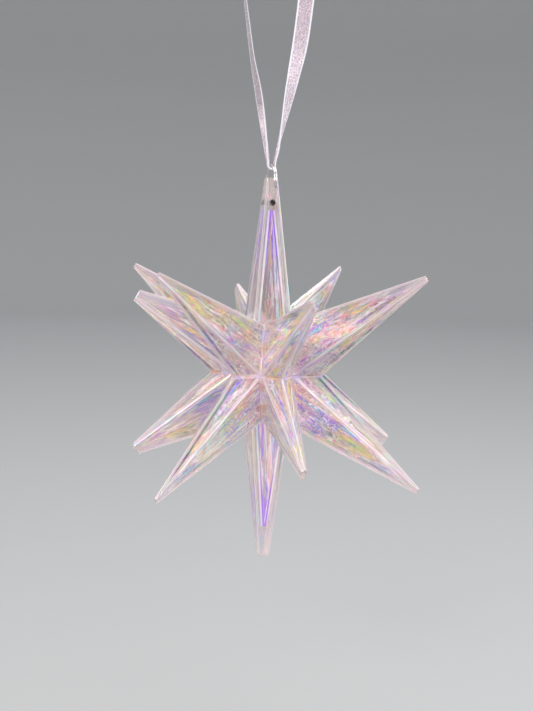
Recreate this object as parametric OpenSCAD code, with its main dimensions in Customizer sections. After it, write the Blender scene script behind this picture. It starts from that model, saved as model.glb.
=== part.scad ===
// Hanging star ornament: eighteen hollow clear spikes bonded rim to rim, a crumpled film
// liner inside each slanted spike, a split wire ring through the top spike and a ribbon loop.
// Z is up. The origin is the inside top of the ribbon loop, where a twig or hook holds it.

/* [Star] */
// Height of the star from blunt end to blunt end
star_h = 146; // [140:1:152]

/* [Vertical spikes] */
// Half diagonal of the square blunt end
spike_end_r = 2.9; // [2.7:0.1:3.1]
// Half diagonal of the square where the slanted spikes' roofs meet its ridges
spike_foot_r = 10.5; // [10.3:0.1:10.7]
// Half diagonal of the hollow's own blunt end
spike_hollow_r = 1.8; // [1.4:0.1:2.0]
// Depth of solid plastic above the hollow
spike_solid_h = 12; // [11.5:0.5:14]

/* [Slanted spikes] */
// Distance of a long spike's blunt end from the star's upright axis
long_tip_r = 63.4; // [61:0.1:66]
// Height of a long spike's blunt end above the equator
long_tip_z = 38; // [36:0.5:40]
// Distance of a short spike's blunt end from the axis
short_tip_r = 50.3; // [48:0.1:52]
// Height of a short spike's blunt end above the equator
short_tip_z = 28.7; // [28:0.1:31]
// Distance of a long spike's keel from the axis, on the equator
long_keel_r = 23.8; // [23:0.1:25]
// Distance of a short spike's keel from the axis, on the equator
short_keel_r = 21.9; // [21:0.1:23]
// Distance of the valleys between spikes from the axis, on the equator
valley_r = 15.7; // [15.2:0.1:16.2]
// Distance from a long spike's blunt end to the point where its edges would meet
tip_cut = 6; // [5:0.5:7]
// The same distance for a short spike, whose blunt end is wider
short_tip_cut = 10; // [9:0.5:10]
// How far each hollow's point lies behind the point of its outside
wall_shift = 13; // [12:0.5:13]
// Sideways lean of the third pair of long spikes, as they were bonded
lean_deg = 5.5; // [0:0.5:6]
// Sideways lean of the third upper short spike, as it was bonded
short_lean_deg = 2; // [0:0.5:2.5]

/* [Film liners] */
// How far each film cone lies behind the hollow that it lines
film_gap = 4.5; // [4:0.5:6]
// Shift between the two faces of the film
film_shift = 1.8; // [1.5:0.1:2.5]
// Distance of the film's open edge in front of the keel
film_stop = 4; // [3:0.5:8]

/* [Hanging ring] */
// Radius of the ring at the middle of its wire
ring_r = 6.9; // [6.8:0.05:7]
// Diameter of the wire
wire_d = 0.7; // [0.6:0.05:0.7]
// Overlap of the wire's two ends
overlap_deg = 90; // [60:5:110]
// Diameter of the hole through the top spike
hole_d = 2.4; // [2.4:0.05:2.6]
// Depth of the hole's centre below the blunt end
hole_depth = 9.2; // [9:0.1:9.4]

/* [Ribbon] */
// Width of the ribbon
ribbon_w = 6; // [5:0.5:6.5]
// Thickness of the ribbon
ribbon_t = 0.3; // [0.2:0.05:0.3]
// Height of the ribbon loop from its bend in the ring to its inside top
loop_h = 103.5; // [100:0.5:108]
// Width of the ribbon where it is gathered inside the ring
gather_w = 1.4; // [1:0.1:1.4]
// Radius of the knot
knot_r = 3.4; // [3:0.1:4]
// Length of each loose ribbon end
tail_l = 14; // [10:1:18]

/* [Hidden] */
FILM_KINDS = ["upper_long", "upper_short", "lower_long", "lower_short"];

// A square with its corners on the long spikes' directions
corner_deg = 45;
// Half of the angle between neighbouring slanted spikes
half_step = 22.5;
spike_end_z = star_h / 2;
spike_rim_z = 16.5;
hollow_end_z = spike_end_z - spike_solid_h;
// The vertical spike's half diagonal falls evenly from foot to end
foot_z = 19.4;
spike_slope = (spike_foot_r - spike_end_r) / (spike_end_z - foot_z);
function spike_r(z) = spike_end_r + spike_slope * (spike_end_z - z);
function hollow_r(z) = spike_hollow_r + spike_slope * (hollow_end_z - z);

// Where a valley between two slanted spikes ends on a face of the vertical spike
valley_top_z = 18.4;
valley_top_x = spike_r(valley_top_z) / sqrt(2);
valley_top_y = valley_top_x * tan(half_step);

hole_z = spike_end_z - hole_depth;
// The wire lifts the hole's roof where the ring's curve is highest inside it
hole_half_l = spike_r(hole_z) / sqrt(2);
wire_sag = ring_r - sqrt(ring_r * ring_r - hole_half_l * hole_half_l);
wire_play = 0.05;
wire_z = hole_z + hole_d / 2 - wire_play - wire_d / 2 - wire_sag;
ring_z = wire_z + ring_r;
ring_start_deg = 200;
ring_steps = 60;
wire_sides = 10;

// The ring bears on the ribbon's bend, a little below the wire
bend_below = 1.2;
bend_z = ring_z + ring_r - bend_below;
star_drop = bend_z + loop_h;

// The ribbon's middle line: x, y, height above the bend, turn of its width about Z,
// and 1 where it is full width or 0 where it is gathered
ROUTE = [
    [-12, 0, 90.5, 0, 0.7],
    [-12.8, 0, 83.5, 4, 1],
    [-12.9, 0, 74.5, 8, 1],
    [-12, 0, 65, 8, 1],
    [-10.2, 0, 52.5, 4, 1],
    [-8.2, 0, 39.7, 0, 1],
    [-5.6, 0, 27.4, -10, 0.95],
    [-3.6, 0, 16.5, -10, 0.7],
    [-2.1, 0, 7.5, -4, 0.35],
    [-1.35, 0, 2.9, 0, 0.05],
    [-1.18, 0, 1.1, 0, 0],
    [-0.85, 0, 0.36, 0, 0],
    [0, 0, 0, 0, 0],
    [0.85, 0, 0.36, 0, 0],
    [1.18, 0, 1.1, 0, 0],
    [1.35, 0, 2.9, 2, 0.05],
    [2.4, 0, 7.5, 10, 0.3],
    [3.5, 0, 13.6, 26, 0.6],
    [5.7, 0, 24, 49, 0.9],
    [8, 0, 35.5, 67, 1],
    [10.2, 0, 47.4, 90, 1],
    [12.2, 0, 65, 106, 1],
    [13.2, 0, 76.5, 130, 1],
    [12.4, 0, 88.5, 158, 1],
    [8.4, 0, 98.8, 178, 1],
    [0, 0, loop_h + ribbon_t / 2, 180, 1],
    [-7.4, 0, 100.7, 180, 1],
    [-11.4, 0, 94, 180, 0.7]];
route_steps = 2;
knot_at = [-12, 0, 92.5];

function along(p, q, t) = p + t * (q - p);
function unit(v) = v / norm(v);
function turned(x, y, z, deg) = [x * cos(deg) - y * sin(deg), x * sin(deg) + y * cos(deg), z];

// A smooth curve through the route's points
function smooth(a, b, c, d, t) = 0.5 * ((2 * b) + (c - a) * t + (2 * a - 5 * b + 4 * c - d) * t * t
    + (3 * b - a - 3 * c + d) * t * t * t);
route_last = len(ROUTE) - 1;
ribbon_line = concat([for (i = [0:route_last - 1], s = [0:route_steps - 1])
    smooth(ROUTE[max(i - 1, 0)], ROUTE[i], ROUTE[i + 1], ROUTE[min(i + 2, route_last)],
        s / route_steps)], [ROUTE[route_last]]);
function place(p) = [p[0], p[1], p[2]];

// Side faces and flat ends of a tube whose rings are listed one after another. The two halves of
// its sides are split along the same diagonals, so that a thin twisted band keeps its thickness
function tube_faces(rings, sides) = concat(
    [for (i = [0:rings - 2], j = [0:sides - 1], half = [0, 1])
        let (a = i * sides + j, b = i * sides + (j + 1) % sides, c = b + sides, d = a + sides)
            j < sides / 2 ? (half == 0 ? [a, d, b] : [b, d, c])
                : (half == 0 ? [a, d, c] : [a, c, b])],
    [[for (j = [0:sides - 1]) j]],
    [[for (j = [sides - 1:-1:0]) (rings - 1) * sides + j]]);

// A slanted spike's five edges run from its point to these places, seen with the spike towards +X
function feet(keel_r) = [
    [keel_r, 0, 0],
    turned(valley_r, 0, 0, half_step),
    [valley_top_x, valley_top_y, valley_top_z],
    [valley_top_x, -valley_top_y, valley_top_z],
    turned(valley_r, 0, 0, -half_step)];
// Where a slanted spike's middle line ends, inside its wide end
ROOT = [14, 0, 8];
function aim(tip) = unit(ROOT - tip);
function point_of(tip, cut) = tip - cut * aim(tip);
function is_long(kind) = kind == "upper_long" || kind == "lower_long";
function cut_of(kind) = is_long(kind) ? tip_cut : short_tip_cut;
// The middle of a blunt end, with the third long pair leaning towards the second short pair
// and the third upper short spike leaning away from it
function tip_of(kind, i) = is_long(kind)
    ? turned(long_tip_r, 0, long_tip_z, i == 3 ? -lean_deg : 0)
    : turned(short_tip_r, 0, short_tip_z, kind == "upper_short" && i == 3 ? short_lean_deg : 0);
// The place on one edge at a given depth below a point
function cut_at(from, foot, point, dir, depth) =
    from + (foot - point) * depth / ((foot - point) * dir);

module slanted_outside(tip, keel_r, cut) {
    point = point_of(tip, cut);
    dir = aim(tip);
    ends = [for (f = feet(keel_r)) cut_at(point, f, point, dir, cut)];
    polyhedron(
        points = concat(ends, feet(keel_r), [[0, 0, 0]]),
        faces = concat(
            [[4, 3, 2, 1, 0]],
            [for (j = [0:4]) [j, (j + 1) % 5, (j + 1) % 5 + 5, j + 5]],
            [for (j = [0:4]) [j + 5, (j + 1) % 5 + 5, 10]]));
}

// A cone parallel to the outside, its point shifted inwards
module slanted_core(tip, keel_r, cut, shift, depth) {
    point = point_of(tip, cut);
    dir = aim(tip);
    start = point + shift * dir;
    base = [for (f = feet(keel_r)) cut_at(start, f, point, dir, depth - shift)];
    polyhedron(
        points = concat([start], base),
        faces = concat([for (j = [0:4]) [0, (j + 1) % 5 + 1, j + 1]], [[1, 2, 3, 4, 5]]));
}

module pyramid(low_z, low_r, high_z, high_r) {
    translate([0, 0, low_z])
        rotate([0, 0, corner_deg])
            cylinder(h = high_z - low_z, r1 = low_r, r2 = high_r, $fn = 4);
}

module spike_outside() {
    pyramid(spike_rim_z, spike_r(spike_rim_z), spike_end_z, spike_end_r);
}

module spike_shell() {
    below = 1;
    difference() {
        spike_outside();
        pyramid(spike_rim_z - below, hollow_r(spike_rim_z - below), hollow_end_z, spike_hollow_r);
    }
}

module slanted_shell(tip, keel_r, cut, shift) {
    through = 90;
    difference() {
        slanted_outside(tip, keel_r, cut);
        slanted_core(tip, keel_r, cut, shift, through);
    }
}

module slanted_spike(kind, i) {
    long = is_long(kind);
    tip = tip_of(kind, i);
    keel_r = long ? long_keel_r : short_keel_r;
    below = kind == "lower_long" || kind == "lower_short";
    azimuth = 90 * i - (long ? corner_deg : 0);
    color("lavenderblush", 0.5)
        translate([0, 0, -star_drop])
            mirror([0, 0, below ? 1 : 0])
                rotate([0, 0, azimuth])
                    difference() {
                        slanted_shell(tip, keel_r, cut_of(kind), wall_shift);
                        rotate([0, 0, -azimuth])
                            spike_outside();
                    }
}

module film_liner(kind, i) {
    long = is_long(kind);
    tip = tip_of(kind, i);
    keel_r = long ? long_keel_r : short_keel_r;
    below = kind == "lower_long" || kind == "lower_short";
    azimuth = 90 * i - (long ? corner_deg : 0);
    cut = cut_of(kind);
    shift = wall_shift + film_gap;
    depth = ([keel_r, 0, 0] - point_of(tip, cut)) * aim(tip) - film_stop;
    color("orchid", 0.6)
        translate([0, 0, -star_drop])
            mirror([0, 0, below ? 1 : 0])
                rotate([0, 0, azimuth])
                    difference() {
                        slanted_core(tip, keel_r, cut, shift, depth);
                        slanted_core(tip, keel_r, cut, shift + film_shift, depth + 1);
                    }
}

module top_spike() {
    color("thistle", 0.5)
        translate([0, 0, -star_drop])
            difference() {
                spike_shell();
                translate([0, 0, hole_z])
                    rotate([90, 0, 0])
                        cylinder(h = 12, d = hole_d, center = true, $fn = 48);
            }
}

module bottom_spike() {
    color("thistle", 0.5)
        translate([0, 0, -star_drop])
            mirror([0, 0, 1])
                spike_shell();
}

module hanging_ring() {
    sweep_deg = 360 + overlap_deg;
    // The two ends lie side by side, so the wire drifts along X by one diameter in a turn
    drift = wire_d * 1.04 / 360;
    rings = [for (i = [0:ring_steps])
        let (turn = sweep_deg * i / ring_steps, a = ring_start_deg - turn,
            x = drift * (turn - sweep_deg / 2))
            [for (j = [0:wire_sides - 1])
                let (b = 360 * j / wire_sides, r = ring_r + wire_d / 2 * cos(b))
                    [x + wire_d / 2 * sin(b), r * cos(a), r * sin(a)]]];
    color("silver")
        translate([0, 0, ring_z - star_drop])
            polyhedron(points = [for (ring = rings, p = ring) p],
                faces = tube_faces(ring_steps + 1, wire_sides));
}

module hanging_ribbon() {
    last = len(ribbon_line) - 1;
    rings = [for (i = [0:last])
        let (here = ribbon_line[i],
            dir = unit(place(ribbon_line[min(i + 1, last)]) - place(ribbon_line[max(i - 1, 0)])),
            flat = [sin(here[3]), cos(here[3]), 0],
            side = unit(flat - (flat * dir) * dir),
            face = cross(dir, side),
            half = along(gather_w, ribbon_w, here[4]) / 2,
            thick = ribbon_t / 2)
            [for (c = [[1, 1], [-1, 1], [-1, -1], [1, -1]])
                place(here) + c[0] * half * side + c[1] * thick * face]];
    color("gainsboro")
        translate([0, 0, -loop_h])
            polyhedron(points = [for (ring = rings, p = ring) p],
                faces = tube_faces(last + 1, 4));
}

module ribbon_knot() {
    color("gainsboro")
        translate(knot_at - [0, 0, loop_h]) {
            sphere(r = knot_r, $fn = 32);
            for (droop = [22, 54])
                rotate([0, droop, 180])
                    translate([0, -ribbon_w / 2, -ribbon_t / 2])
                        cube([tail_l + knot_r / 2, ribbon_w, ribbon_t]);
        }
}

top_spike();
bottom_spike();
for (k = FILM_KINDS, i = [1:4]) {
    slanted_spike(k, i);
    film_liner(k, i);
}
hanging_ring();
hanging_ribbon();
ribbon_knot();
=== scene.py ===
import bpy
import math
import random
from mathutils import Matrix, Vector, noise


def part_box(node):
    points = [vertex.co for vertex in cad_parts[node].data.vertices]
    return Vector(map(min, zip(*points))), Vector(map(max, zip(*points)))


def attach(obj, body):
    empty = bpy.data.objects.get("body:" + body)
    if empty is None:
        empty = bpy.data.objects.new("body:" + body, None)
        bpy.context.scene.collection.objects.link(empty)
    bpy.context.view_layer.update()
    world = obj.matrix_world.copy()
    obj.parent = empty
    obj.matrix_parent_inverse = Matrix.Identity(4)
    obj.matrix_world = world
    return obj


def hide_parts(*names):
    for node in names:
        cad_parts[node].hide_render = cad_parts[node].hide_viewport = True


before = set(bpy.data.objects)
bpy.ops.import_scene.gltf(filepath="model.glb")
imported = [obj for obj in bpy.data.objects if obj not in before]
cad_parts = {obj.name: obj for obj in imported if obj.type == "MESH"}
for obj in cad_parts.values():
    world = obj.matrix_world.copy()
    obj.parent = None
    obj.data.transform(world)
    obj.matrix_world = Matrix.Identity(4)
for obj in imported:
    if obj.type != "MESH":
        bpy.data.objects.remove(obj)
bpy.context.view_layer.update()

# ---------------------------------------------------------------- the view
# The star hangs free, and is looked at from close by and slightly above, with one short
# spike turned towards the viewer's right. The camera leans a little.
star_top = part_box("top_spike")[1].z
star_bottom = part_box("bottom_spike")[0].z
star_centre = Vector((0, 0, (star_top + star_bottom) / 2))
star_height = star_top - star_bottom
view_turn = math.radians(-15.5)
view_dip = math.radians(7.1)
view_lean = math.radians(1.35)
view_distance = 2.6 * star_height
frame_height = 1.873 * star_height
star_below_middle = 0.0397 * star_height

bpy.ops.object.camera_add()
camera = bpy.context.object
camera.name = "front_camera"
turned = (Matrix.Rotation(view_turn, 3, "Z") @ Matrix.Rotation(math.pi / 2 - view_dip, 3, "X")
          @ Matrix.Rotation(view_lean, 3, "Z"))
camera.location = star_centre + turned @ Vector((0, star_below_middle, view_distance))
camera.rotation_euler = turned.to_euler()
camera.data.sensor_fit = "VERTICAL"
camera.data.sensor_height = 24
camera.data.lens = camera.data.sensor_height * view_distance / frame_height
camera.data.clip_start = 0.01
bpy.context.scene.camera = camera
bpy.context.scene.view_settings.view_transform = "Standard"

# ---------------------------------------------------------------- the ribbon
# A 6 mm ribbon of woven metallic mesh with satin edges, doubled through the wire ring, gathered
# where it bears in the ring and knotted near its top. One length of ribbon makes the whole loop.
ribbon_width = 0.006
ribbon_gather = 0.0014
selvedge_width = 0.00055
selvedge_thick = 0.00028
mesh_thick = 0.00014
pleats_across = 3.5
pleat_depth = 0.00034
pleat_swell = 0.0011
loop_height = 0.1035
ribbon_steps = 10
# x, y, height above the bend, turn of the width about Z in degrees, how much of the width shows
ribbon_route = [
    (-0.012, 0, 0.0905, 0, 0.7),
    (-0.0128, 0, 0.0835, 4, 1),
    (-0.0129, 0, 0.0745, 8, 1),
    (-0.012, 0, 0.065, 8, 1),
    (-0.0102, 0, 0.0525, 4, 1),
    (-0.0082, 0, 0.0397, 0, 1),
    (-0.0056, 0, 0.0274, -10, 0.95),
    (-0.0036, 0, 0.0165, -10, 0.7),
    (-0.0021, 0, 0.0075, -4, 0.35),
    (-0.00135, 0, 0.0029, 0, 0.05),
    (-0.00118, 0, 0.0011, 0, 0),
    (-0.00085, 0, 0.00036, 0, 0),
    (0, 0, 0, 0, 0),
    (0.00085, 0, 0.00036, 0, 0),
    (0.00118, 0, 0.0011, 0, 0),
    (0.00135, 0, 0.0029, 2, 0.05),
    (0.0024, 0, 0.0075, 10, 0.3),
    (0.0035, 0, 0.0136, 26, 0.6),
    (0.0057, 0, 0.024, 49, 0.9),
    (0.008, 0, 0.0355, 67, 1),
    (0.0102, 0, 0.0474, 90, 1),
    (0.0122, 0, 0.065, 106, 1),
    (0.0132, 0, 0.0765, 130, 1),
    (0.0124, 0, 0.0885, 158, 1),
    (0.0084, 0, 0.0988, 178, 1),
    (0, 0, loop_height + 0.00015, 180, 1),
    (-0.0074, 0, 0.1007, 180, 1),
    (-0.0114, 0, 0.094, 180, 0.7),
]


def smooth_between(a, b, c, d, t):
    """A place on the smooth line from b to c, at the share t of the way."""
    return [0.5 * (2 * q + (r - p) * t + (2 * p - 5 * q + 4 * r - s) * t * t
                   + (3 * q - p - 3 * r + s) * t * t * t) for p, q, r, s in zip(a, b, c, d)]


ribbon_line = []
for i in range(len(ribbon_route) - 1):
    nearby = [ribbon_route[max(i - 1, 0)], ribbon_route[i], ribbon_route[i + 1],
              ribbon_route[min(i + 2, len(ribbon_route) - 1)]]
    for step in range(ribbon_steps):
        ribbon_line.append(smooth_between(*nearby, step / ribbon_steps))
ribbon_line.append(list(ribbon_route[-1]))
ribbon_places = [Vector((p[0], p[1], p[2] - loop_height)) for p in ribbon_line]

half_across = [-1.0, -0.92, -0.82, -0.7, -0.56, -0.42, -0.28, -0.14, 0,
               0.14, 0.28, 0.42, 0.56, 0.7, 0.82, 0.92, 1.0]


def ribbon_outline(i):
    """The closed outline of the ribbon across its length, with thick edges and a thin middle."""
    before = ribbon_places[max(i - 1, 0)]
    after = ribbon_places[min(i + 1, len(ribbon_places) - 1)]
    along = (after - before).normalized()
    turn = math.radians(ribbon_line[i][3])
    full = min(max(ribbon_line[i][4], 0), 1)
    flat = Vector((math.sin(turn), math.cos(turn), 0))
    side = (flat - flat.dot(along) * along).normalized()
    face = along.cross(side)
    half = (ribbon_gather + (ribbon_width - ribbon_gather) * full) / 2
    edge = 1 - selvedge_width / half * 0.5
    outline = []
    for sign in (1, -1):
        row = half_across if sign > 0 else half_across[::-1]
        for u in row:
            thick = selvedge_thick if abs(u) > edge else mesh_thick
            if abs(u) == 1:
                thick *= 0.5
            pleat = (1 - full) * (pleat_depth + pleat_swell * full) * math.cos(u * math.pi * pleats_across)
            place = ribbon_places[i] + side * half * u + face * (sign * thick / 2 + pleat)
            outline.append((u, place))
    return outline


ribbon_mesh = bpy.data.meshes.new("hanging_ribbon_woven")
outlines = [ribbon_outline(i) for i in range(len(ribbon_places))]
around = len(outlines[0])
points = [p for outline in outlines for _, p in outline]
faces = []
for i in range(len(outlines) - 1):
    for j in range(around):
        k = (j + 1) % around
        faces.append((i * around + j, i * around + k, (i + 1) * around + k, (i + 1) * around + j))
faces.append(tuple(range(around))[::-1])
faces.append(tuple((len(outlines) - 1) * around + j for j in range(around)))
ribbon_mesh.from_pydata(points, [], faces)
ribbon_mesh.update()
travel = [0.0]
for a, b in zip(ribbon_places, ribbon_places[1:]):
    travel.append(travel[-1] + (b - a).length)
weave = ribbon_mesh.uv_layers.new(name="weave")
for loop in ribbon_mesh.loops:
    i, j = divmod(loop.vertex_index, around)
    weave.data[loop.index].uv = (outlines[i][j][0] * ribbon_width / 2 * 100, travel[i] * 100)
ribbon = bpy.data.objects.new("hanging_ribbon_woven", ribbon_mesh)
bpy.context.collection.objects.link(ribbon)


def only(obj):
    """Leaves one object selected and active."""
    for other in bpy.context.selected_objects:
        other.select_set(False)
    bpy.context.view_layer.objects.active = obj
    obj.select_set(True)


def face_outwards(obj, inside=False):
    """Turns all faces of an object the same way, outwards unless told otherwise."""
    only(obj)
    bpy.ops.object.mode_set(mode="EDIT")
    bpy.ops.mesh.select_all(action="SELECT")
    bpy.ops.mesh.normals_make_consistent(inside=inside)
    bpy.ops.object.mode_set(mode="OBJECT")


face_outwards(ribbon)
bpy.ops.object.shade_smooth_by_angle(angle=math.radians(40))


def add(tree, kind, **values):
    """A node with some of its settings and sockets filled in, wired from any socket that is given."""
    node = tree.nodes.new(kind)
    for name, value in values.items():
        if name in node.bl_rna.properties:
            setattr(node, name, value)
            continue
        socket = node.inputs[int(name[1:])] if name[0] == "_" else node.inputs[name.replace("_", " ")]
        if isinstance(value, bpy.types.NodeSocket):
            tree.links.new(value, socket)
        else:
            socket.default_value = value
    return node


def colour_steps(tree, factor, steps):
    """A colour ramp from a list of (place, (r, g, b))."""
    ramp = add(tree, "ShaderNodeValToRGB", Fac=factor)
    while len(ramp.color_ramp.elements) < len(steps):
        ramp.color_ramp.elements.new(1)
    for element, (place, rgb) in zip(ramp.color_ramp.elements, steps):
        element.position = place
        element.color = (*rgb, 1)
    return ramp.outputs["Color"]


def new_material(name):
    """A material, its node tree and its Principled shader."""
    material = bpy.data.materials.new(name)
    material.use_nodes = True
    tree = material.node_tree
    return material, tree, tree.nodes["Principled BSDF"]


def lurex_ribbon():
    """Silver lurex mesh between satin edges: fine slanting yarns, glitter in rose, gold and violet."""
    material, tree, body = new_material("lurex_ribbon")
    uv = add(tree, "ShaderNodeUVMap", uv_map="weave").outputs["UV"]
    parts = add(tree, "ShaderNodeSeparateXYZ", Vector=uv)
    across, length = parts.outputs["X"], parts.outputs["Y"]
    away = add(tree, "ShaderNodeMath", operation="ABSOLUTE", _0=across).outputs[0]
    edge = add(tree, "ShaderNodeMapRange", interpolation_type="SMOOTHSTEP", Value=away,
               From_Min=0.235, From_Max=0.25).outputs[0]
    yarns = []
    for slant in (0.8, -0.8):
        source = add(tree, "ShaderNodeMath", operation="MULTIPLY_ADD", _0=across, _1=slant,
                     _2=length).outputs[0]
        turns = add(tree, "ShaderNodeMath", operation="MULTIPLY", _0=source, _1=2 * math.pi / 0.045)
        yarns.append(add(tree, "ShaderNodeMath", operation="SINE", _0=turns.outputs[0]).outputs[0])
    mesh = add(tree, "ShaderNodeMath", operation="MAXIMUM", _0=yarns[0], _1=yarns[1]).outputs[0]
    open_mesh = add(tree, "ShaderNodeMapRange", Value=mesh, From_Min=-0.9, From_Max=0.6).outputs[0]
    glitter = add(tree, "ShaderNodeTexVoronoi", Vector=uv, Scale=38, Randomness=1)
    speck = add(tree, "ShaderNodeSeparateColor", Color=glitter.outputs["Color"])
    tone = colour_steps(tree, speck.outputs[0], [
        (0, (0.34, 0.24, 0.30)), (0.22, (0.74, 0.64, 0.78)), (0.45, (0.84, 0.58, 0.52)),
        (0.65, (0.66, 0.62, 0.86)), (0.82, (0.90, 0.74, 0.56)), (0.95, (1, 1, 1))])
    woven = add(tree, "ShaderNodeMix", data_type="RGBA", _6=(0.24, 0.18, 0.24, 1), _7=tone,
                _0=open_mesh).outputs[2]
    ribs = add(tree, "ShaderNodeMath", operation="MULTIPLY", _0=length, _1=2 * math.pi / 0.03)
    rib = add(tree, "ShaderNodeMath", operation="SINE", _0=ribs.outputs[0]).outputs[0]
    satin = colour_steps(tree, add(tree, "ShaderNodeMapRange", Value=rib, From_Min=-1).outputs[0], [
        (0, (0.86, 0.84, 0.93)), (1, (0.97, 0.96, 1.0))])
    colour = add(tree, "ShaderNodeMix", data_type="RGBA", _6=woven, _7=satin, _0=edge).outputs[2]
    tree.links.new(colour, body.inputs["Base Color"])
    metal = add(tree, "ShaderNodeMapRange", Value=edge, To_Min=0.5, To_Max=0).outputs[0]
    tree.links.new(metal, body.inputs["Metallic"])
    gloss = add(tree, "ShaderNodeMapRange", Value=speck.outputs[1], To_Min=0.22, To_Max=0.5).outputs[0]
    tree.links.new(gloss, body.inputs["Roughness"])
    height = add(tree, "ShaderNodeMix", data_type="FLOAT", _2=mesh, _3=rib, _0=edge).outputs[0]
    bump = add(tree, "ShaderNodeBump", Strength=0.6, Distance=0.00006, Height=height)
    tree.links.new(bump.outputs[0], body.inputs["Normal"])
    body.inputs["Sheen Weight"].default_value = 0.2
    return material


lurex = lurex_ribbon()
ribbon_mesh.materials.append(lurex)
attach(ribbon, "ribbon_loop")
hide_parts("hanging_ribbon")

# ---------------------------------------------------------------- the knot
# The two ends of the ribbon are tied together in one overhand knot. The loose ends were cut
# square, and hang out to the side.
knot_place = Vector((-0.012, 0, 0.0925 - loop_height))
wrap_pleat = 0.00016
tail_length = 0.0135
tail_thick = 0.00022
tail_droops = (24, 52)
tail_cup = 0.0007
tail_wave = 0.0003


def wrap_of_knot(name, reach, thick, turn, lean):
    """One turn of gathered ribbon round the knot, with the weave running along it."""
    bpy.ops.mesh.primitive_torus_add(major_segments=64, minor_segments=20, major_radius=reach,
                                     minor_radius=thick, location=(0, 0, 0),
                                     rotation=(math.radians(turn), math.radians(lean), 0))
    wrap = bpy.context.object
    wrap.name = name
    bpy.ops.object.transform_apply(location=True, rotation=True, scale=True)
    only(wrap)
    uv = wrap.data.uv_layers[0]
    uv.name = "weave"
    for corner in uv.data:
        corner.uv = ((corner.uv[1] - 0.5) * 0.6, corner.uv[0] * 1.9)
    return wrap


wraps = [wrap_of_knot("knot_wrap_1", 0.0016, 0.00125, 0, 24),
         wrap_of_knot("knot_wrap_2", 0.0015, 0.0012, 78, -20),
         wrap_of_knot("knot_wrap_3", 0.0013, 0.0012, 40, 68)]
for number, wrap in enumerate(wraps):
    for vertex in wrap.data.vertices:
        radial = vertex.co.normalized()
        pleat = noise.noise(vertex.co * 2600 + Vector((number * 9, 0, 0)))
        vertex.co += radial * pleat * wrap_pleat

tails = []
for number, droop in enumerate(tail_droops):
    bpy.ops.mesh.primitive_grid_add(x_subdivisions=36, y_subdivisions=10, size=1)
    tail = bpy.context.object
    tail.name = f"knot_tail_{number + 1}"
    uv = tail.data.uv_layers[0]
    uv.name = "weave"
    for corner in uv.data:
        corner.uv = ((corner.uv[1] - 0.5) * ribbon_width * 100, corner.uv[0] * tail_length * 100)
    for vertex in tail.data.vertices:
        t, across = vertex.co.x + 0.5, vertex.co.y * 2
        width = ribbon_gather + (ribbon_width - ribbon_gather) * min(1, t * 2.6)
        reach = tail_length * t
        sag = math.radians(droop + 14 * t)
        cup = tail_cup * (1 - t) * math.cos(across * math.pi * 1.5) + tail_wave * math.sin(t * 5 + number)
        vertex.co = Vector((-reach * math.cos(sag), across * width / 2, -reach * math.sin(sag) + cup))
    only(tail)
    bpy.ops.object.modifier_add(type="SOLIDIFY")
    tail.modifiers[-1].thickness = tail_thick
    tail.modifiers[-1].offset = 0
    bpy.ops.object.modifier_apply(modifier=tail.modifiers[-1].name)
    tails.append(tail)
for piece in wraps + tails:
    piece.select_set(True)
knot = wraps[0]
bpy.context.view_layer.objects.active = knot
bpy.ops.object.join()
knot.name = "ribbon_knot_tied"
knot.data.name = knot.name
for vertex in knot.data.vertices:
    vertex.co += knot_place
knot.data.materials.append(lurex)
only(knot)
bpy.ops.object.shade_smooth_by_angle(angle=math.radians(50))
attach(knot, "ribbon_loop")
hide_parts("ribbon_knot")

# ---------------------------------------------------------------- the hanging ring
# A split ring of springy plated wire, wound one and a quarter turns. It passes through the hole
# in the top spike, and its ends lie side by side.
ring_radius = 0.0069
wire_radius = 0.00033
ring_pitch = 0.000728
ring_turn = 450
ring_start = 200
ring_steps = 150
wire_sides = 16
wire_round = 0.00018
ring_middle = (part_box("hanging_ring")[0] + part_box("hanging_ring")[1]) / 2
ring_drift = ring_pitch / 360

bpy.ops.mesh.primitive_circle_add(vertices=wire_sides, radius=wire_radius, fill_type="NOTHING",
                                  location=(0, ring_radius, 0))
ring = bpy.context.object
ring.name = "hanging_ring_wire"
bpy.ops.object.transform_apply(location=True, rotation=True, scale=True)
only(ring)
bpy.ops.object.mode_set(mode="EDIT")
bpy.ops.mesh.select_all(action="SELECT")
bpy.ops.mesh.spin(steps=ring_steps, angle=math.radians(ring_turn), center=(0, 0, 0), axis=(1, 0, 0))
bpy.ops.object.mode_set(mode="OBJECT")
to_start = Matrix.Rotation(math.radians(ring_start), 3, "X")
for vertex in ring.data.vertices:
    share = vertex.index // wire_sides / ring_steps
    vertex.co = ring_middle + to_start @ vertex.co + Vector((ring_drift * ring_turn * (share - 0.5), 0, 0))
only(ring)
bpy.ops.object.mode_set(mode="EDIT")
bpy.ops.mesh.select_mode(type="EDGE")
bpy.ops.mesh.select_all(action="DESELECT")
bpy.ops.mesh.select_non_manifold()
bpy.ops.mesh.edge_face_add()
bpy.ops.mesh.select_all(action="SELECT")
bpy.ops.mesh.normals_make_consistent(inside=False)
# The bevel takes in every edge of the wire, and its facets fold over one another on the wire's side
bpy.ops.mesh.bevel(offset=wire_round, segments=3, affect="EDGES")
bpy.ops.object.mode_set(mode="OBJECT")
bpy.ops.object.shade_smooth_by_angle(angle=math.radians(45))


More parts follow.
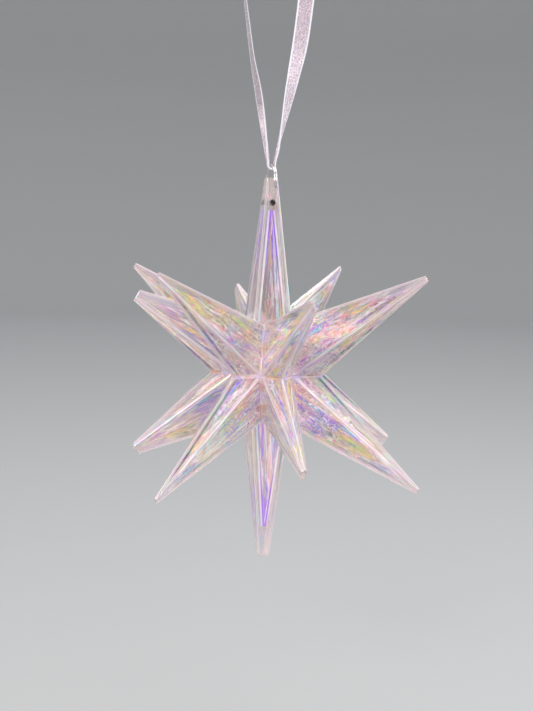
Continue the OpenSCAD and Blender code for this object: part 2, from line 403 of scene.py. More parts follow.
def plated_wire():
    """Bright silver plating with a warm cast, a fine grain and small worn spots."""
    material, tree, body = new_material("plated_wire")
    place = add(tree, "ShaderNodeTexCoord").outputs["Object"]
    worn = add(tree, "ShaderNodeTexNoise", Vector=place, Scale=900, Detail=3)
    colour = colour_steps(tree, worn.outputs["Fac"], [
        (0.3, (0.62, 0.50, 0.45)), (0.5, (0.86, 0.80, 0.78)), (0.7, (0.93, 0.90, 0.90))])
    tree.links.new(colour, body.inputs["Base Color"])
    rough = add(tree, "ShaderNodeMapRange", Value=worn.outputs["Fac"], To_Min=0.12, To_Max=0.34)
    tree.links.new(rough.outputs[0], body.inputs["Roughness"])
    grain = add(tree, "ShaderNodeTexNoise", Vector=place, Scale=5200, Detail=1)
    bump = add(tree, "ShaderNodeBump", Strength=0.25, Distance=0.00001, Height=grain.outputs["Fac"])
    tree.links.new(bump.outputs[0], body.inputs["Normal"])
    body.inputs["Metallic"].default_value = 1
    return material


ring.data.materials.append(plated_wire())
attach(ring, "ring")
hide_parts("hanging_ring")

# ---------------------------------------------------------------- the spikes
# Eighteen hollow mouldings of clear polystyrene with an iridescent tint and solid blunt ends. They
# are glued rim to rim: sixteen five-sided ones around two four-sided ones. The top one is drilled.
ridge_round = 0.00022
ridge_angle = math.radians(14)
shortest_ridge = 0.0007
blunt_end_reach = 0.0022
root_out = 0.014
root_up = 0.008
hole_depth = 0.0092
hole_radius = 0.0012
hole_margin = 0.0001
hole_centre = Vector((0, 0, star_top - hole_depth))
solid_end_depth = 0.0115
# How a finish finds its place on a spike: see mark_facets
depth_stride = 10
taper_start = 0.012
facet_spread = 3
ridge_least_length = 0.004
ridge_least_slope = 0.8
narrowest_facet = 0.001
bpy.context.scene.cycles.transparent_max_bounces = 64
bpy.context.scene.cycles.max_bounces = 32
bpy.context.scene.cycles.transmission_bounces = 24

KINDS = ["upper_long", "upper_short", "lower_long", "lower_short"]
SPIKES = ["top_spike", "bottom_spike"] + [f"{kind}_spike_{i}" for kind in KINDS for i in range(1, 5)]


def spike_axis(node):
    """The middle of a spike's blunt end, and the direction from there down its middle."""
    points = [v.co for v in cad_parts[node].data.vertices]
    far = max((p - star_centre).length for p in points)
    end = [p for p in points if (p - star_centre).length > far - blunt_end_reach]
    tip = sum(end, Vector()) / len(end)
    if node in ("top_spike", "bottom_spike"):
        return tip, Vector((0, 0, -1 if node == "top_spike" else 1))
    outward = Vector((tip.x, tip.y, 0)).normalized()
    rise = math.copysign(root_up, tip.z - star_centre.z)
    root = star_centre + outward * root_out + Vector((0, 0, rise))
    return tip, (root - tip).normalized()


def moulded(node):
    """A copy of a CAD spike with clean facets and rounded ridges."""
    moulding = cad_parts[node].copy()
    moulding.data = moulding.data.copy()
    moulding.name = node + "_moulding"
    moulding.data.name = moulding.name
    for key in list(moulding.keys()):
        del moulding[key]
    moulding.parent = None
    bpy.context.collection.objects.link(moulding)
    only(moulding)
    bpy.ops.object.mode_set(mode="EDIT")
    bpy.ops.mesh.select_all(action="SELECT")
    bpy.ops.mesh.remove_doubles(threshold=0.00002)
    bpy.ops.mesh.dissolve_limited(angle_limit=math.radians(1))
    bpy.ops.mesh.select_all(action="DESELECT")
    bpy.ops.object.mode_set(mode="OBJECT")
    mesh = moulding.data
    tip, down = spike_axis(node)

    def outside(face):
        """Whether a face looks away from the middle of the spike."""
        middle = tip + down * (face.center - tip).dot(down)
        return face.normal.dot(face.center - middle) > 0

    sides = {}
    for face in mesh.polygons:
        for key in face.edge_keys:
            sides.setdefault(key, []).append(face)
    mesh_edges = {edge.key: edge for edge in mesh.edges}
    for key, faces in sides.items():
        edge = mesh_edges[key]
        long_enough = (mesh.vertices[key[0]].co - mesh.vertices[key[1]].co).length > shortest_ridge
        if len(faces) != 2 or not long_enough or not all(outside(f) for f in faces):
            continue
        if faces[0].normal.angle(faces[1].normal) > ridge_angle:
            edge.select = True
    bpy.ops.object.mode_set(mode="EDIT")
    bpy.ops.mesh.select_mode(type="EDGE")
    bpy.ops.mesh.bevel(offset=ridge_round, segments=2, affect="EDGES", clamp_overlap=False)
    bpy.ops.mesh.select_mode(type="VERT")
    bpy.ops.object.mode_set(mode="OBJECT")
    return moulding


def mark_facets(moulding, tip, down, seed):
    """Two UV maps that the finish follows.

    "facet" holds how far across its facet a place is, as a share of the spike's width there, and
    how far down the spike it is. "ridge" holds how far it is from the facet's two ridges. Both
    distances are in centimetres. Each spike has its own stretch of depth_stride.
    """
    mesh = moulding.data
    facet = mesh.uv_layers.new(name="facet")
    ridge = mesh.uv_layers.new(name="ridge")
    for number, face in enumerate(mesh.polygons):
        normal = face.normal
        flat_down = down - down.dot(normal) * normal
        slope = flat_down.length
        flat_down = flat_down.normalized() if slope > 1e-6 else normal.orthogonal()
        across = normal.cross(flat_down)
        ridges = []
        for a, b in face.edge_keys:
            start, end = mesh.vertices[a].co, mesh.vertices[b].co
            way = end - start
            slant = abs(way.normalized().dot(flat_down))
            if way.length > ridge_least_length and slant > ridge_least_slope:
                ridges.append((((start + end) / 2 - face.center).dot(across), start, way.normalized()))
        ridges.sort(key=lambda r: r[0])
        for index in face.loop_indices:
            place = mesh.vertices[mesh.loops[index].vertex_index].co
            depth = (place - tip).dot(down)
            spread = (place - tip).dot(across) / (depth + taper_start)
            facet.data[index].uv = (spread * facet_spread + facet_spread * (number % 7),
                                    depth * 100 + depth_stride * seed)
            if len(ridges) < 2:
                ridge.data[index].uv = (1, 1)
            elif ridges[-1][0] - ridges[0][0] > narrowest_facet:
                gaps = [((place - r[1]) - (place - r[1]).dot(r[2]) * r[2]).length for r in
                        (ridges[0], ridges[-1])]
                ridge.data[index].uv = (gaps[0] * 100, gaps[1] * 100)
            else:
                ridge.data[index].uv = (0, 0)


def facet_pattern(tree, across, along, scale, detail=2.0):
    """Noise that is drawn out down the facets and narrows with them towards the blunt end."""
    facet = add(tree, "ShaderNodeUVMap", uv_map="facet").outputs["UV"]
    place = add(tree, "ShaderNodeMapping", Vector=facet, Scale=(across, along, 1)).outputs[0]
    return add(tree, "ShaderNodeTexNoise", Vector=place, Scale=scale, Detail=detail).outputs["Fac"]


def facet_depth(tree):
    """How far down a spike a place lies, in centimetres from the blunt end."""
    facet = add(tree, "ShaderNodeUVMap", uv_map="facet").outputs["UV"]
    down = add(tree, "ShaderNodeSeparateXYZ", Vector=facet).outputs[1]
    return add(tree, "ShaderNodeMath", operation="MODULO", _0=down, _1=depth_stride).outputs[0]


def gap_to(tree, value, level):
    """How far a value is from a level."""
    off = add(tree, "ShaderNodeMath", operation="SUBTRACT", _0=value, _1=level).outputs[0]
    return add(tree, "ShaderNodeMath", operation="ABSOLUTE", _0=off).outputs[0]


def stronger(tree, one, other):
    """The larger of two masks."""
    return add(tree, "ShaderNodeMath", operation="MAXIMUM", _0=one, _1=other).outputs[0]


def fade(tree, value, start, end, low=0.0, high=1.0):
    """Goes smoothly from low to high while a value goes from start to end."""
    return add(tree, "ShaderNodeMapRange", interpolation_type="SMOOTHSTEP", Value=value,
               From_Min=start, From_Max=end, To_Min=low, To_Max=high).outputs[0]


def blend(tree, share, one, other):
    """A colour between two others."""
    return add(tree, "ShaderNodeMix", data_type="RGBA", _0=share, _6=one, _7=other).outputs[2]


def ridge_distance(tree):
    """How far the nearer ridge of the facet is, in centimetres."""
    ridge = add(tree, "ShaderNodeUVMap", uv_map="ridge").outputs["UV"]
    gaps = add(tree, "ShaderNodeSeparateXYZ", Vector=ridge)
    return add(tree, "ShaderNodeMath", operation="MINIMUM", _0=gaps.outputs[0],
               _1=gaps.outputs[1]).outputs[0]


def rainbow(tree, factor):
    """The colours of the iridescent tint, in their order."""
    return colour_steps(tree, factor, [
        (0.27, (0.12, 0.60, 0.52)), (0.33, (0.22, 0.68, 0.95)), (0.38, (0.16, 0.18, 0.92)),
        (0.42, (0.50, 0.20, 0.86)), (0.45, (0.86, 0.72, 0.90)), (0.49, (1.0, 0.98, 0.96)),
        (0.52, (0.95, 0.80, 0.62)), (0.55, (0.86, 0.26, 0.48)), (0.58, (0.95, 0.64, 0.34)),
        (0.62, (0.94, 0.76, 0.18)), (0.68, (0.64, 0.80, 0.20)), (0.75, (0.16, 0.66, 0.44))])


def lamps_pass(tree, body, colour):
    """Lets lamplight through to what is inside, as thin clear plastic does."""
    path = add(tree, "ShaderNodeLightPath").outputs["Is Shadow Ray"]
    open_air = add(tree, "ShaderNodeBsdfTransparent", Color=colour).outputs[0]
    both = add(tree, "ShaderNodeMixShader", _0=path, _1=body.outputs[0], _2=open_air).outputs[0]
    tree.links.new(both, tree.nodes["Material Output"].inputs["Surface"])


def clear_plastic():
    """The outside of a moulding: clear and glossy, with pale double lines of painted highlight along its
    ridges.
    """
    material, tree, body = new_material("clear_plastic_moulding")
    gap = ridge_distance(tree)
    hue = rainbow(tree, facet_pattern(tree, 2.6, 0.2, 1.5))
    glass = blend(tree, 0.2, (0.97, 0.97, 0.94, 1), hue)
    edge = fade(tree, gap, 0.04, 0.09, 1, 0)
    # Painted highlight: along each ridge the colour runs in pale lines with darker pink between them, for
    # the light a ridge catches.
    turns = add(tree, "ShaderNodeMath", operation="MULTIPLY", _0=gap, _1=2 * math.pi / 0.045)
    wave = add(tree, "ShaderNodeMath", operation="COSINE", _0=turns.outputs[0]).outputs[0]
    pale = colour_steps(tree, add(tree, "ShaderNodeMapRange", Value=wave, From_Min=-1).outputs[0], [
        (0, (0.66, 0.48, 0.52)), (1, (0.98, 0.91, 0.90))])
    solid_end = fade(tree, facet_depth(tree), 0.4, 2.0, 1, 0)
    fine = add(tree, "ShaderNodeMapRange", Value=facet_pattern(tree, 15, 0.2, 1.4, 1.0),
               From_Min=0.40, From_Max=0.60).outputs[0]
    milk = add(tree, "ShaderNodeMath", operation="MULTIPLY_ADD", _0=fine, _1=0.30, _2=0.10).outputs[0]
    milk = add(tree, "ShaderNodeMath", operation="MULTIPLY", _0=milk, _1=solid_end).outputs[0]
    misty = blend(tree, 0.35, (0.95, 0.88, 0.87, 1), hue)
    colour = blend(tree, edge, blend(tree, solid_end, glass, misty), pale)
    tree.links.new(colour, body.inputs["Base Color"])
    solid = add(tree, "ShaderNodeMix", data_type="FLOAT", _2=milk, _3=0.5, _0=edge).outputs[0]
    through = add(tree, "ShaderNodeMapRange", Value=solid, To_Min=1, To_Max=0).outputs[0]
    tree.links.new(through, body.inputs["Transmission Weight"])
    body.inputs["Roughness"].default_value = 0.04
    body.inputs["IOR"].default_value = 1.42
    film = add(tree, "ShaderNodeMapRange", Value=facet_pattern(tree, 1.6, 0.3, 1.5, 1.0),
               From_Min=0.3, From_Max=0.7, To_Min=230, To_Max=620).outputs[0]
    tree.links.new(film, body.inputs["Thin Film Thickness"])
    body.inputs["Thin Film IOR"].default_value = 1.9
    ripple = facet_pattern(tree, 4, 0.5, 2.0)
    bump = add(tree, "ShaderNodeBump", Strength=0.3, Distance=0.0003, Height=ripple)
    tree.links.new(bump.outputs[0], body.inputs["Normal"])
    lamps_pass(tree, body, (0.96, 0.95, 0.95, 1))
    return material


def lined_plastic(name, line_sets, share, plain, ridge_highlight_colours=None):
    """The inside of a moulding: clear, with fine lines of rainbow colour running down each facet.

    With ridge colours given it also has bands of painted highlight along the ridges, edged with violet at
    their upper end.
    Without them it has fine creases towards the middle of the star, painted as dark lines of shade beside a
    white line of painted highlight.
    """
    material, tree, body = new_material(name)
    hue = rainbow(tree, facet_pattern(tree, 3.4, 0.22, 1.7))
    mask = None
    for across, along, width in line_sets:
        off = gap_to(tree, facet_pattern(tree, across, along, 1.3, 1.0), 0.5)
        line = fade(tree, off, 0.15 * width, width, 1, 0)
        mask = line if mask is None else stronger(tree, mask, line)
    glass = blend(tree, 0.12, (*plain, 1), hue)
    colour = blend(tree, mask, glass, hue)
    if ridge_highlight_colours:
        deep = add(tree, "ShaderNodeMath", operation="DIVIDE", _0=facet_depth(tree), _1=6).outputs[0]
        # Painted highlight: pale bands along the ridges, in the given ridge colours.
        ridge_band_highlight = colour_steps(tree, deep, ridge_highlight_colours)
        gap = ridge_distance(tree)
        near = fade(tree, gap, 0.06, 0.08, 1, 0)
        upper = fade(tree, deep, 0.40, 0.68, 1, 0)
        rim = colour_steps(tree, gap, [(0.055, (0, 0, 0)), (0.075, (1, 1, 1)), (0.11, (1, 1, 1)),
                                       (0.135, (0, 0, 0))])
        rim = add(tree, "ShaderNodeMath", operation="MULTIPLY", _0=rim, _1=upper).outputs[0]
        mask = stronger(tree, stronger(tree, mask, near), rim)
        colour = blend(tree, near, colour, ridge_band_highlight)
        colour = blend(tree, rim, colour, (0.28, 0.08, 0.98, 1))
    else:
        # Painted shade and highlight of fine creases: two dark lines of painted shade either side of a
        # white line of painted highlight.
        inner = fade(tree, facet_depth(tree), 2.0, 4.2)
        place = add(tree, "ShaderNodeTexCoord").outputs["Object"]
        fold = add(tree, "ShaderNodeTexNoise", Vector=place, Scale=300, Detail=2, Distortion=1.2)
        for level, width, tone in ((0.44, 0.016, (0.14, 0.13, 0.30, 1)), (0.50, 0.02, (1, 1, 1, 1)),
                                   (0.57, 0.016, (0.20, 0.26, 0.44, 1))):
            off = gap_to(tree, fold.outputs["Fac"], level)
            line = add(tree, "ShaderNodeMapRange", Value=off, From_Min=0.3 * width, From_Max=width,
                       To_Min=0.95, To_Max=0).outputs[0]
            line = add(tree, "ShaderNodeMath", operation="MULTIPLY", _0=line, _1=inner).outputs[0]
            mask = stronger(tree, mask, line)
            colour = blend(tree, line, colour, tone)
    tree.links.new(colour, body.inputs["Base Color"])
    through = add(tree, "ShaderNodeMapRange", Value=mask, To_Min=0.97, To_Max=1 - share).outputs[0]
    tree.links.new(through, body.inputs["Transmission Weight"])
    body.inputs["Roughness"].default_value = 0.08
    body.inputs["IOR"].default_value = 1.42
    body.inputs["Thin Film Thickness"].default_value = 520
    body.inputs["Thin Film IOR"].default_value = 2.0
    ripple = facet_pattern(tree, 8, 0.8, 2.0)
    bump = add(tree, "ShaderNodeBump", Strength=0.5, Distance=0.0004, Height=ripple)
    tree.links.new(bump.outputs[0], body.inputs["Normal"])
    lamps_pass(tree, body, (0.94, 0.92, 0.93, 1))
    return material


def bore_painted_shade():
    """The wall of the drilled hole: dull and scratched along the hole, painted dark for the shade inside
    it.
    """
    material, tree, body = new_material("bore_painted_shade")
    place = add(tree, "ShaderNodeTexCoord").outputs["Object"]
    drawn_out = add(tree, "ShaderNodeMapping", Vector=place, Scale=(1, 0.15, 1)).outputs[0]
    scratch = add(tree, "ShaderNodeTexNoise", Vector=drawn_out, Scale=4000, Detail=2).outputs["Fac"]
    # Painted shade: the bore is coloured near black, as the inside of the hole is in shade; the scratches
    # are a little lighter.
    shade = colour_steps(tree, scratch, [(0.35, (0.10, 0.08, 0.09)), (0.65, (0.34, 0.28, 0.30))])
    tree.links.new(shade, body.inputs["Base Color"])
    body.inputs["Roughness"].default_value = 0.45
    return material


plastic = clear_plastic()
bore = bore_painted_shade()
painted_crease_light = lined_plastic("clear_plastic_creased", [(6, 0.16, 0.03), (11, 0.22, 0.035), (19, 0.4, 0.04)],
                        0.85, (0.93, 0.94, 0.86))
# The inner finish of the top and bottom spikes; the last list gives the colours of its painted highlight
# bands along the ridges.
streaked = lined_plastic("clear_plastic_streaked", [(3.2, 0.05, 0.03), (7, 0.06, 0.03)],
                         0.85, (0.88, 0.82, 0.81),
                         [(0.2, (0.82, 0.72, 0.99)), (0.35, (0.98, 0.95, 1.0)),
                          (0.7, (0.99, 0.97, 0.99)), (0.88, (0.55, 0.88, 0.96))])
for number, node in enumerate(SPIKES):
    moulding = moulded(node)
    tip, down = spike_axis(node)
    mark_facets(moulding, tip, down, number)
    moulding.data.materials.clear()
    moulding.data.materials.append(plastic)
    moulding.data.materials.append(streaked if node in ("top_spike", "bottom_spike") else painted_crease_light)
    if node == "top_spike":
        moulding.data.materials.append(bore)
    for face in moulding.data.polygons:
        depth = (face.center - tip).dot(down)
        middle = tip + down * depth
        in_solid_end = node == "top_spike" and depth < solid_end_depth
        face.material_index = 0 if in_solid_end or face.normal.dot(face.center - middle) > 0 else 1
        from_hole = face.center - hole_centre
        if in_solid_end and math.hypot(from_hole.x, from_hole.z) < hole_radius + hole_margin:
            face.material_index = 2
    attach(moulding, "star")
    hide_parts(node)

# ---------------------------------------------------------------- the bonded rims
# The turned-out rims of the mouldings lie in pairs in the valleys between the spikes and round the
# equator, with clear glue between them. They show as double lines.
valley_count = 8
valley_radius = 0.0157
valley_top_radius = 0.00816
valley_top_rise = 0.0184
valley_reach = 0.0011
valley_half_width = 0.00078
keel_radii = (0.0238, 0.0219)
keel_reach = 0.00036
keel_half_width = 0.0007
# How far each corner of a rim's cross-section stands out, and how far it lies to the side
rim_profile = [(-0.8, 0.2), (1.05, 1.0), (1.35, 0.75), (1.4, 0.5), (1.05, 0.12), (1.05, -0.12),
               (1.4, -0.5), (1.35, -0.75), (1.05, -1.0), (-0.8, -0.2)]


def rim_strip(start, end, across, reach, half_width):
    """A ribbed strip from start to end. It stands out from the valley by reach."""
    bpy.ops.mesh.primitive_cylinder_add(vertices=len(rim_profile), radius=1, depth=1)
    strip = bpy.context.object
    way = (end - start).normalized()
    out = across.cross(way).normalized()
    if out.dot((start + end) / 2 - star_centre) < 0:
        out = -out
    for vertex in strip.data.vertices:
        angle = math.atan2(vertex.co.x, vertex.co.y) % (2 * math.pi)
        n = round(angle / (2 * math.pi) * len(rim_profile)) % len(rim_profile)
        stand, wide = rim_profile[n]
        base = start if vertex.co.z < 0 else end
        vertex.co = base + out * stand * reach + across * wide * half_width
    return strip


strips = []
half_step = 180 / valley_count
for n in range(valley_count):
    turn = math.radians(half_step + 2 * half_step * n)
    ray = Vector((math.cos(turn), math.sin(turn), 0))
    across = Vector((-ray.y, ray.x, 0))
    foot = star_centre + ray * valley_radius
    for side in (1, -1):
        top = star_centre + ray * valley_top_radius + Vector((0, 0, side * valley_top_rise))
        strips.append(rim_strip(foot, top, across, valley_reach, valley_half_width))
    for step, keel in ((-half_step, keel_radii[(n + 1) % 2]), (half_step, keel_radii[n % 2])):
        bearing = turn + math.radians(step)
        tip_ray = Vector((math.cos(bearing), math.sin(bearing), 0))
        strips.append(rim_strip(foot, star_centre + tip_ray * keel, Vector((0, 0, 1)), keel_reach,
                                keel_half_width))
for strip in strips:
    strip.select_set(True)
rims = strips[0]
bpy.context.view_layer.objects.active = rims
bpy.ops.object.join()
rims.name = "bonded_rims"
rims.data.name = rims.name
face_outwards(rims)
for layer in list(rims.data.uv_layers):
    rims.data.uv_layers.remove(layer)


def glued_rim():
    """Clear glue between two rims, cloudy, with a lilac and an amber cast."""
    material, tree, body = new_material("glued_rim")
    place = add(tree, "ShaderNodeTexCoord").outputs["Object"]
    cloud = add(tree, "ShaderNodeTexNoise", Vector=place, Scale=190, Detail=3)
    tint = colour_steps(tree, cloud.outputs["Fac"], [
        (0.36, (0.70, 0.64, 0.95)), (0.46, (0.93, 0.86, 0.90)), (0.55, (0.88, 0.68, 0.64)),
        (0.66, (0.84, 0.62, 0.44))])
    tree.links.new(tint, body.inputs["Base Color"])
    body.inputs["Transmission Weight"].default_value = 0.72
    body.inputs["Roughness"].default_value = 0.08
    body.inputs["IOR"].default_value = 1.45
    bump = add(tree, "ShaderNodeBump", Strength=0.4, Distance=0.0002, Height=cloud.outputs["Fac"])
    tree.links.new(bump.outputs[0], body.inputs["Normal"])
    lamps_pass(tree, body, (0.95, 0.93, 0.93, 1))
    return material


rims.data.materials.append(glued_rim())
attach(rims, "star")

# ---------------------------------------------------------------- the film liners
# A cone of thin iridescent film was pushed into each slanted spike and crumpled there. It lines
# the hollow with lengthwise folds and small facets of many colours, with painted light and shade on them
# and some painted white as highlights.
film_rows = 22
film_columns = 34
rim_depth_slack = 0.00005
same_corner = 0.06
row_shift = 0.4
column_shift = 0.35
even_tuck = 0.06
uneven_tuck = 0.30
# The colours that the film shows from the blunt end to the middle of the star
FILM_TINTS = {
    "upper_long_1": ["grey_blue", "cyan", "teal", "lilac"],
    "upper_long_2": ["peach", "gold", "lime", "lime", "grey_blue"],
    "upper_long_3": ["lime", "gold", "lime", "grey_blue", "periwinkle", "cyan"],
    "upper_long_4": ["gold", "lime", "grey_blue", "gold", "periwinkle", "cyan"],
    "upper_short_1": ["rose", "pink", "teal", "lilac"],
    "upper_short_2": ["magenta", "rose", "gold", "peach", "lime"],
    "upper_short_3": ["blush", "magenta", "violet", "rose", "peach"],
    "upper_short_4": ["blush", "cyan", "lavender", "lilac"],
    "lower_long_1": ["peach", "gold", "lime", "lavender"],
    "lower_long_2": ["magenta", "gold", "lime", "teal", "periwinkle"],
    "lower_long_3": ["pink", "gold", "lime", "teal", "cyan", "grey_blue", "peach"],
    "lower_long_4": ["periwinkle", "magenta", "violet", "lime", "periwinkle", "cyan"],
    "lower_short_1": ["blush", "peach", "lilac", "lavender"],
    "lower_short_2": ["pink", "lime", "teal", "gold", "peach"],
    "lower_short_3": ["blush", "lavender", "violet", "gold", "peach"],
    "lower_short_4": ["blush", "peach", "lavender", "cyan"],
}
FILM_COLOURS = {
    "blush": (0.86, 0.66, 0.66), "pink": (0.90, 0.45, 0.62), "rose": (0.82, 0.28, 0.46),
    "magenta": (0.72, 0.16, 0.62), "violet": (0.26, 0.10, 0.85), "lavender": (0.70, 0.60, 0.90),
    "lilac": (0.62, 0.42, 0.78), "periwinkle": (0.16, 0.22, 0.88), "grey_blue": (0.30, 0.38, 0.50),
    "cyan": (0.36, 0.78, 0.92), "teal": (0.10, 0.58, 0.50), "lime": (0.62, 0.74, 0.16),
    "gold": (0.88, 0.66, 0.20), "peach": (0.92, 0.62, 0.40),
}
FILM_STRONG = ("violet", "periwinkle", "cyan", "magenta", "gold", "lime", "peach", "gold", "blush",
               "peach", "teal")


def film_outline(node, tip, down):
    """The film's point, the corners of its outline where it reaches deepest, and their middle.

    Where the rim isn't square to the spike's axis, this finds only a part of the rim.
    """
    points = [v.co.copy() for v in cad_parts[node].data.vertices]
    reach = [(p - tip).dot(down) for p in points]
    point = points[reach.index(min(reach))]
    deepest = max(reach)
    rim = {tuple(round(c, 5) for c in p): p for p, r in zip(points, reach) if r > deepest - rim_depth_slack}
    middle = sum(rim.values(), Vector()) / len(rim)
    side = down.orthogonal().normalized()
    other = down.cross(side)

    def bearing(p):
        """Where a place lies round the middle, as an angle."""
        return math.atan2((p - middle).dot(other), (p - middle).dot(side))

    corners = []
    for p in sorted(rim.values(), key=bearing):
        doubled = [q for q in rim.values() if q is not p and abs(bearing(q) - bearing(p)) < same_corner]
        if all((q - middle).length < (p - middle).length for q in doubled):
            corners.append(p)
    return point, corners, middle


def crumpled_film(kind, i, seed):
    """A cone of film, folded lengthwise, with a colour of its own on every small facet, made lighter or
    darker by painted light and shade, and some facets painted white as highlights.
    """
    node = f"{kind}_film_{i}"
    tip, down = spike_axis(f"{kind}_spike_{i}")
    point, corners, middle = film_outline(node, tip, down)
    bpy.ops.mesh.primitive_grid_add(x_subdivisions=film_columns, y_subdivisions=film_rows, size=1)
    film = bpy.context.object
    film.name = node + "_crumpled"
    mesh = film.data
    tints = [Vector(FILM_COLOURS[name]) for name in FILM_TINTS[f"{kind}_{i}"]]
    spots = {}
    for vertex in mesh.vertices:
        u, v = vertex.co.x + 0.5, vertex.co.y + 0.5
        column, row = round(u * film_columns) % film_columns, round(v * film_rows)
        draw = random.Random(seed * 7919 + row * 131 + column)
        if 0 < row < film_rows:
            v = min(max(v + draw.uniform(-row_shift, row_shift) / film_rows, 0), 1)
        turn = (column + draw.uniform(-column_shift, column_shift)) / film_columns * len(corners)
        k = int(turn) % len(corners)
        edge = corners[k].lerp(corners[(k + 1) % len(corners)], turn - int(turn))
        fold = 0.5 + 0.5 * math.sin(turn * 9 + seed + 3 * noise.noise(Vector((turn, v * 3, seed))))
        tuck = 1 - fold * (even_tuck + uneven_tuck * draw.random())
        vertex.co = point.lerp(middle.lerp(edge, tuck), 0.02 + 0.98 * v ** 0.9)
        spot = v * (len(tints) - 1) + 1.1 * noise.noise(Vector((turn * 1.3, v * 5, seed * 3.1)))
        spots[vertex.index] = (v, turn, min(max(spot, 0), len(tints) - 1.001))
    only(film)
    bpy.ops.object.mode_set(mode="EDIT")
    bpy.ops.mesh.select_all(action="SELECT")
    bpy.ops.mesh.quads_convert_to_tris(quad_method="SHORTEST_DIAGONAL")
    bpy.ops.object.mode_set(mode="OBJECT")
    draw = random.Random(seed)
    hue = mesh.color_attributes.new(name="film_hue_and_painted_light", type="FLOAT_COLOR", domain="CORNER")
    patch_hues = [draw.choice(FILM_STRONG) for _ in range(6)]
    for face in mesh.polygons:
        # Painted light and shade: each facet is made lighter or darker at random, as if it caught the lamps
        # or not, and one in ten is painted white as a highlight.
        painted_glint = draw.choice((0.22, 0.45, 0.75, 1, 1, 1.2, 1.5))
        painted_highlight = draw.random() < 0.1
        deep, turn, spot = spots[mesh.loops[face.loop_start].vertex_index]
        cell = noise.cell(Vector((turn * 0.8 + 0.5, deep * 5 + seed, seed)))
        own = FILM_COLOURS[patch_hues[int(cell * 60) % 6]] if cell > 0.42 else None
        if draw.random() < 0.16:
            own = FILM_COLOURS[draw.choice(FILM_STRONG)]
        shade = Vector(own) if own else tints[int(spot)].lerp(tints[int(spot) + 1], spot % 1)
        rgb = (1, 1, 1) if painted_highlight else [min(c * painted_glint, 1) for c in shade]
        for n in face.loop_indices:
            hue.data[n].color = (*rgb, 1)
    bpy.ops.object.mode_set(mode="EDIT")
    bpy.ops.mesh.select_all(action="SELECT")
    bpy.ops.mesh.remove_doubles(threshold=0.000001)
    bpy.ops.object.mode_set(mode="OBJECT")
    return film, node


def iridescent_film():
    """Thin dichroic film: each small facet has its own strong colour with painted light and shade on it,
    under a hard gloss, and dark lines of painted shade run along its creases.
    """
    material, tree, body = new_material("iridescent_film_liner")
    hue = add(tree, "ShaderNodeVertexColor", layer_name="film_hue_and_painted_light").outputs["Color"]
    place = add(tree, "ShaderNodeTexCoord").outputs["Object"]
    mottle = add(tree, "ShaderNodeTexNoise", Vector=place, Scale=420, Detail=3)
    pale = add(tree, "ShaderNodeMapRange", Value=mottle.outputs["Fac"], From_Min=0.42, From_Max=0.7,
               To_Min=0, To_Max=0.3).outputs[0]
    colour = blend(tree, pale, hue, (1.0, 0.97, 0.98, 1))
    # Painted shade: dark lines along the creases of the film.
    crease = add(tree, "ShaderNodeTexNoise", Vector=place, Scale=260, Detail=2)
    line = fade(tree, gap_to(tree, crease.outputs["Fac"], 0.5), 0.006, 0.02, 0.75, 0)
    colour = blend(tree, line, colour, (0.16, 0.12, 0.26, 1))
    tree.links.new(colour, body.inputs["Base Color"])
    body.inputs["Metallic"].default_value = 0.15
    body.inputs["Roughness"].default_value = 0.16
    body.inputs["Alpha"].default_value = 0.85
    return material


film_finish = iridescent_film()
for number, kind in enumerate(KINDS):
    for i in range(1, 5):
        film, node = crumpled_film(kind, i, 20 + number * 4 + i)
        film.data.materials.append(film_finish)
        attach(film, "star")
        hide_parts(node)

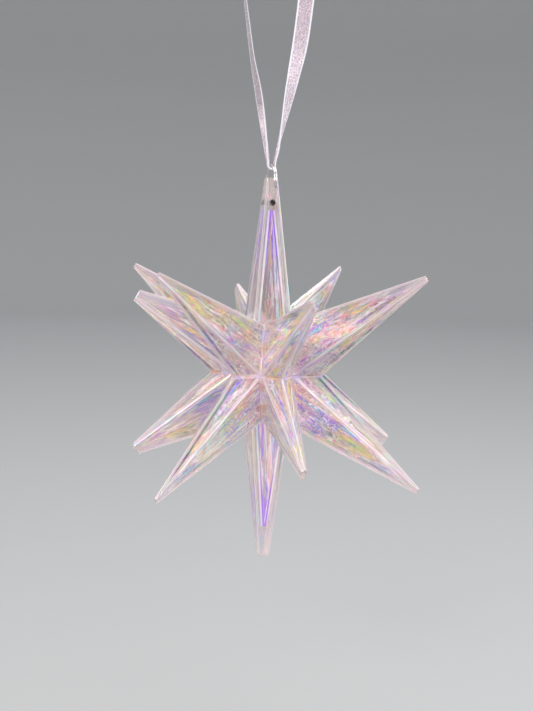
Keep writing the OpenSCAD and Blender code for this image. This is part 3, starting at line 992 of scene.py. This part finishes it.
# ---------------------------------------------------------------- the stage
# A round sweep of pale grey paper below and all round the star, and three soft lamps.
paper_grey = (0.43, 0.43, 0.42, 1)
floor_z = star_bottom - 0.62 * star_height
sweep_radius = 3.0
wall_height = 1.2
sweep_bend = 0.8
bpy.ops.mesh.primitive_cylinder_add(vertices=96, radius=sweep_radius, depth=wall_height,
                                    location=(0, 0, floor_z + wall_height / 2))
sweep = bpy.context.object
sweep.name = "paper_sweep"
bpy.ops.object.transform_apply(location=True, rotation=True, scale=True)
only(sweep)
bpy.ops.object.mode_set(mode="EDIT")
bpy.ops.mesh.select_mode(type="FACE")
bpy.ops.mesh.select_all(action="DESELECT")
bpy.ops.object.mode_set(mode="OBJECT")
for face in sweep.data.polygons:
    face.select = face.center.z > floor_z + 0.9 * wall_height
bpy.ops.object.mode_set(mode="EDIT")
bpy.ops.mesh.delete(type="FACE")
bpy.ops.mesh.select_mode(type="EDGE")
bpy.ops.object.mode_set(mode="OBJECT")
for edge in sweep.data.edges:
    edge.select = all(sweep.data.vertices[v].co.z < floor_z + 0.001 for v in edge.vertices)
bpy.ops.object.mode_set(mode="EDIT")
bpy.ops.mesh.bevel(offset=sweep_bend, segments=16, affect="EDGES", clamp_overlap=False)
bpy.ops.object.mode_set(mode="OBJECT")
face_outwards(sweep, inside=True)
bpy.ops.object.shade_smooth()
paper, tree, body = new_material("grey_paper")
body.inputs["Base Color"].default_value = paper_grey
body.inputs["Roughness"].default_value = 0.9
sweep.data.materials.append(paper)

world = bpy.data.worlds.new("studio")
bpy.context.scene.world = world
world.use_nodes = True
sky = world.node_tree.nodes["Background"]
sky.inputs["Color"].default_value = (0.92, 0.94, 1.0, 1)
sky.inputs["Strength"].default_value = 0.9


def soft_lamp(name, place, width, height, watts, tint):
    """An area lamp that is aimed at the star and isn't seen itself."""
    bpy.ops.object.light_add(type="AREA", location=place)
    lamp = bpy.context.object
    lamp.name = name
    lamp.data.shape = "RECTANGLE"
    lamp.data.size, lamp.data.size_y = width, height
    lamp.data.energy = watts
    lamp.data.color = tint
    lamp.visible_camera = False
    lamp.rotation_euler = (star_centre - Vector(place)).to_track_quat("-Z", "Y").to_euler()


soft_lamp("key_lamp", (-0.55, -0.6, 0.35), 0.45, 0.45, 5.2, (1, 0.97, 0.94))
soft_lamp("fill_lamp", (0.7, -0.35, 0.0), 0.35, 0.7, 3.6, (0.94, 0.96, 1))
soft_lamp("top_lamp", (0.15, 0.1, 0.9), 0.6, 0.6, 4.5, (1, 1, 1))
